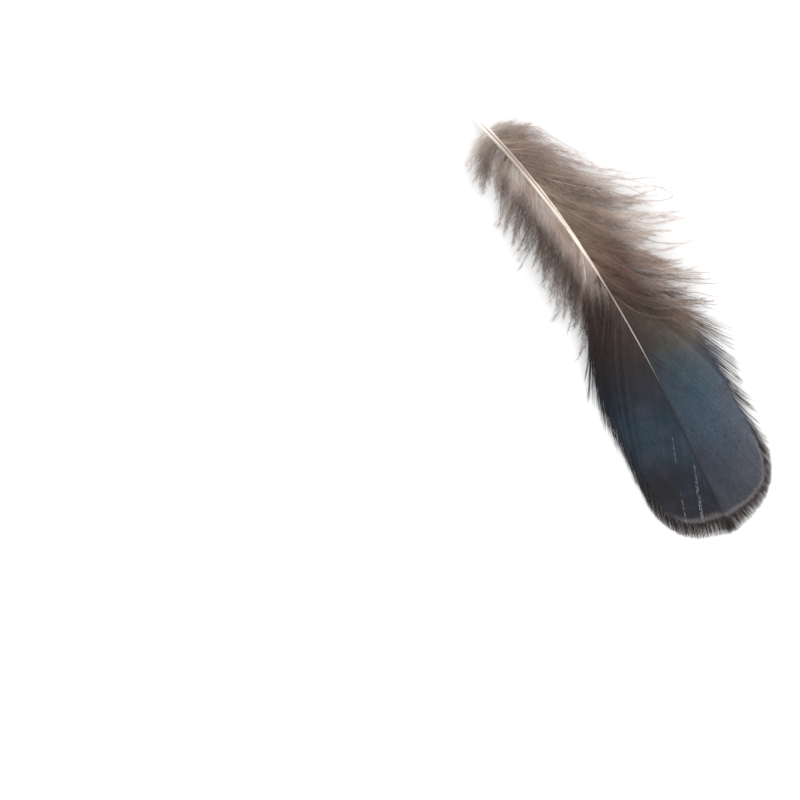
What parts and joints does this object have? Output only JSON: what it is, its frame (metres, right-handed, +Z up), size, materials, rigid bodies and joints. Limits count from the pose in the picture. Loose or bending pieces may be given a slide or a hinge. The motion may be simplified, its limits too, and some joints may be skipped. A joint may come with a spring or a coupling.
{
  "type": "pheasant feather",
  "caption": "Small round-tipped body feather with a bowed shaft, a closed blue-green vane with a dark fringe, and loose grey-brown down round the quill.",
  "frame": {"origin": "on the surface the feather rests on, under the middle of its bounding box", "axes": "+Y from the quill's end to the tip, +Z up out of the dorsal side, +X to the right as seen from the quill's end"},
  "size_m": [0.0228, 0.06, 0.004],
  "materials": {
    "vane": "dark blue-green barbs with a soft satin sheen and a blackish fringe",
    "down": "loose matt grey-brown down",
    "quill": "smooth cream horn, dark towards the tip"
  },
  "bodies": {
    "root": {"feather": "vane"}
  },
  "joints": []
}
